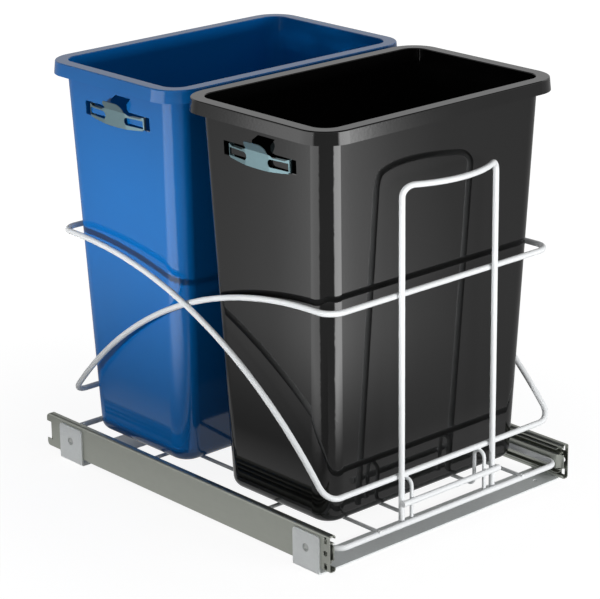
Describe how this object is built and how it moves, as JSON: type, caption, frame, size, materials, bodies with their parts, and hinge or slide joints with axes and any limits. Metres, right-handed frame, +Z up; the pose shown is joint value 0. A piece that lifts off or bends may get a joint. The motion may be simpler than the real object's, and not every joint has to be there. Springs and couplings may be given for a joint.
{
  "type": "pull out trash cabinet unit",
  "caption": "Pull-out waste unit for a kitchen cabinet: white wire carriage on two full-extension ball slides carrying two tall tapered lift-out bins, with a bowed wire handle.",
  "frame": {"origin": "on the cabinet floor, below the middle of the whole unit", "axes": "+X across the cabinet to the right as seen from the handle, +Y into the cabinet (the handle faces -Y), +Z up"},
  "size_m": [0.4066, 0.5488, 0.5171],
  "materials": {
    "slide_steel": "bright zinc-plated rolled steel",
    "plate_steel": "satin zinc-plated sheet",
    "ball_steel": "polished bearing steel",
    "white_wire": "white powder coat on steel wire",
    "black_bin": "semi-gloss moulded plastic",
    "blue_bin": "semi-gloss moulded plastic",
    "clip_steel": "bluish zinc-plated spring sheet"
  },
  "bodies": {
    "floor_mount": {"left_outer_member": "slide_steel", "right_outer_member": "slide_steel", "front_floor_plate": "plate_steel", "rear_floor_plate": "plate_steel", "tab_rivets": "plate_steel"},
    "carriage": {"left_inner_member": "slide_steel", "right_inner_member": "slide_steel", "base_frame": "white_wire", "rising_hoop": "white_wire", "falling_hoop": "white_wire", "handle_bow": "white_wire", "handle_cross_bar": "white_wire", "left_long_wire": "white_wire", "right_long_wire": "white_wire", "left_loop_wire": "white_wire", "right_loop_wire": "white_wire", "front_cross_wire": "white_wire", "rear_cross_wire": "white_wire"},
    "left_intermediate": {"left_intermediate_member": "slide_steel"},
    "right_intermediate": {"right_intermediate_member": "slide_steel"},
    "left_outer_cage": {"left_outer_retainer": "slide_steel", "left_outer_balls": "ball_steel"},
    "right_outer_cage": {"right_outer_retainer": "slide_steel", "right_outer_balls": "ball_steel"},
    "left_inner_cage": {"left_inner_retainer": "slide_steel", "left_inner_balls": "ball_steel"},
    "right_inner_cage": {"right_inner_retainer": "slide_steel", "right_inner_balls": "ball_steel"},
    "front_bin_set": {"front_bin": "black_bin", "front_bag_clip": "clip_steel"},
    "rear_bin_set": {"rear_bin": "blue_bin", "rear_bag_clip": "clip_steel"}
  },
  "joints": [
    {"name": "carriage_slide", "type": "slide", "parent": "floor_mount", "child": "carriage", "axis": [0, -1, 0], "range_m": [0, 0.508]},
    {"name": "left_intermediate_slide", "type": "slide", "parent": "floor_mount", "child": "left_intermediate", "axis": [0, -1, 0], "range_m": [0, 0.254]},
    {"name": "right_intermediate_slide", "type": "slide", "parent": "floor_mount", "child": "right_intermediate", "axis": [0, -1, 0], "range_m": [0, 0.254]},
    {"name": "left_outer_cage_slide", "type": "slide", "parent": "floor_mount", "child": "left_outer_cage", "axis": [0, -1, 0], "range_m": [0, 0.127]},
    {"name": "right_outer_cage_slide", "type": "slide", "parent": "floor_mount", "child": "right_outer_cage", "axis": [0, -1, 0], "range_m": [0, 0.127]},
    {"name": "left_inner_cage_slide", "type": "slide", "parent": "floor_mount", "child": "left_inner_cage", "axis": [0, -1, 0], "range_m": [0, 0.381]},
    {"name": "right_inner_cage_slide", "type": "slide", "parent": "floor_mount", "child": "right_inner_cage", "axis": [0, -1, 0], "range_m": [0, 0.381]},
    {"name": "front_bin_lift", "type": "slide", "parent": "carriage", "child": "front_bin_set", "axis": [0, 0, 1], "range_m": [0, 0.5]},
    {"name": "rear_bin_lift", "type": "slide", "parent": "carriage", "child": "rear_bin_set", "axis": [0, 0, 1], "range_m": [0, 0.5]}
  ],
  "couplings": [
    {"joint": "left_intermediate_slide", "follows": "carriage_slide", "ratio": 0.5},
    {"joint": "right_intermediate_slide", "follows": "carriage_slide", "ratio": 0.5},
    {"joint": "left_outer_cage_slide", "follows": "carriage_slide", "ratio": 0.25},
    {"joint": "right_outer_cage_slide", "follows": "carriage_slide", "ratio": 0.25},
    {"joint": "left_inner_cage_slide", "follows": "carriage_slide", "ratio": 0.75},
    {"joint": "right_inner_cage_slide", "follows": "carriage_slide", "ratio": 0.75}
  ]
}
